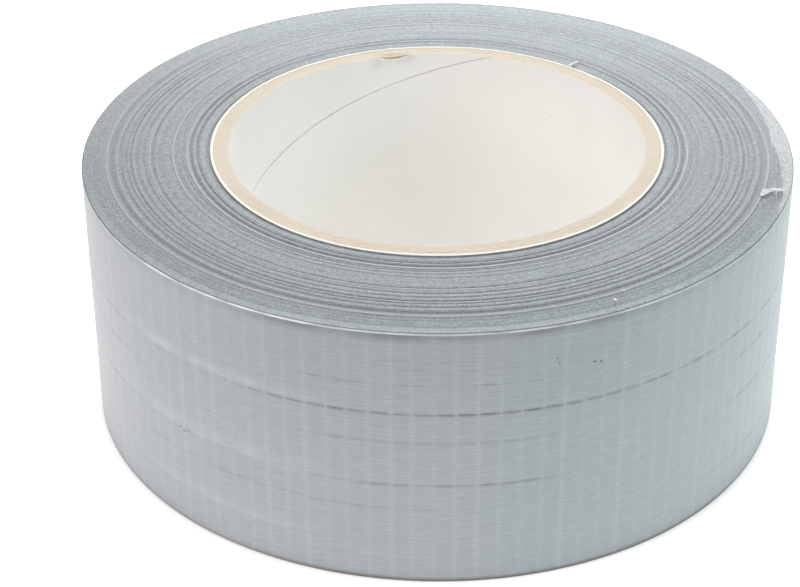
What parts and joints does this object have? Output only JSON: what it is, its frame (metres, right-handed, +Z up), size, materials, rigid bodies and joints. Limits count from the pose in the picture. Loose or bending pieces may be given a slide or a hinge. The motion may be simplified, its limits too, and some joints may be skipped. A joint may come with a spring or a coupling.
{
  "type": "duct tape roll",
  "caption": "Round roll of grey cloth-backed repair tape wound on a paperboard core, lying flat, with a free end that peels off.",
  "frame": {"origin": "on the core's axis, at the lower end of the core bore, which is the surface the roll lies on", "axes": "+Z up along the core's axis, +Y towards the side where the free end of the tape lies, tape wound anticlockwise seen from +Z"},
  "size_m": [0.1301, 0.13, 0.0508],
  "materials": {
    "liner_paper": "matt grey-white lining paper",
    "kraft_board": "solid kraft coreboard with a cut, fibrous rim",
    "white_ply": "matt white paper",
    "wound_edge": "slit edge of wound cloth tape, finely ringed",
    "backing_film": "silver-grey polyethylene with the cloth showing through",
    "scrim": "open cotton-polyester weave",
    "adhesive": "tacky grey natural-rubber adhesive"
  },
  "bodies": {
    "roll": {"core_liner": "liner_paper", "core_kraft_ply_1": "kraft_board", "core_kraft_ply_2": "kraft_board", "core_kraft_ply_3": "kraft_board", "core_kraft_ply_4": "kraft_board", "core_kraft_ply_5": "kraft_board", "core_kraft_ply_6": "kraft_board", "core_outer_ply": "white_ply", "wound_tape_1": "wound_edge", "wound_tape_2": "wound_edge", "wound_tape_3": "wound_edge", "wound_tape_4": "wound_edge", "wound_tape_5": "wound_edge", "wound_tape_6": "wound_edge", "wound_tape_7": "wound_edge", "wound_tape_8": "wound_edge", "outer_turn_adhesive": "adhesive", "outer_turn_scrim": "scrim", "outer_turn_film": "backing_film"},
    "tape_end_1": {"tape_end_adhesive_1": "adhesive", "tape_end_scrim_1": "scrim", "tape_end_film_1": "backing_film"},
    "tape_end_2": {"tape_end_adhesive_2": "adhesive", "tape_end_scrim_2": "scrim", "tape_end_film_2": "backing_film"},
    "tape_end_3": {"tape_end_adhesive_3": "adhesive", "tape_end_scrim_3": "scrim", "tape_end_film_3": "backing_film"},
    "tape_end_4": {"tape_end_adhesive_4": "adhesive", "tape_end_scrim_4": "scrim", "tape_end_film_4": "backing_film"},
    "tape_end_5": {"tape_end_adhesive_5": "adhesive", "tape_end_scrim_5": "scrim", "tape_end_film_5": "backing_film"},
    "tape_end_6": {"tape_end_adhesive_6": "adhesive", "tape_end_scrim_6": "scrim", "tape_end_film_6": "backing_film"}
  },
  "joints": [
    {"name": "peel", "type": "hinge", "parent": "roll", "child": "tape_end_1", "pos_m": [0.05898, 0.02758, 0.025], "axis": [0, 0, -1], "range_deg": [0, 80]},
    {"name": "straighten_2", "type": "hinge", "parent": "tape_end_1", "child": "tape_end_2", "pos_m": [0.05331, 0.03741, 0.025], "axis": [0, 0, -1], "range_deg": [0, 8]},
    {"name": "straighten_3", "type": "hinge", "parent": "tape_end_2", "child": "tape_end_3", "pos_m": [0.04602, 0.0461, 0.025], "axis": [0, 0, -1], "range_deg": [0, 8]},
    {"name": "straighten_4", "type": "hinge", "parent": "tape_end_3", "child": "tape_end_4", "pos_m": [0.03733, 0.05339, 0.025], "axis": [0, 0, -1], "range_deg": [0, 8]},
    {"name": "straighten_5", "type": "hinge", "parent": "tape_end_4", "child": "tape_end_5", "pos_m": [0.0275, 0.05906, 0.025], "axis": [0, 0, -1], "range_deg": [0, 8]},
    {"name": "straighten_6", "type": "hinge", "parent": "tape_end_5", "child": "tape_end_6", "pos_m": [0.01684, 0.06294, 0.025], "axis": [0, 0, -1], "range_deg": [0, 8]}
  ],
  "couplings": [
    {"joint": "straighten_2", "follows": "peel", "ratio": 0.1},
    {"joint": "straighten_3", "follows": "peel", "ratio": 0.1},
    {"joint": "straighten_4", "follows": "peel", "ratio": 0.1},
    {"joint": "straighten_5", "follows": "peel", "ratio": 0.1},
    {"joint": "straighten_6", "follows": "peel", "ratio": 0.1}
  ]
}
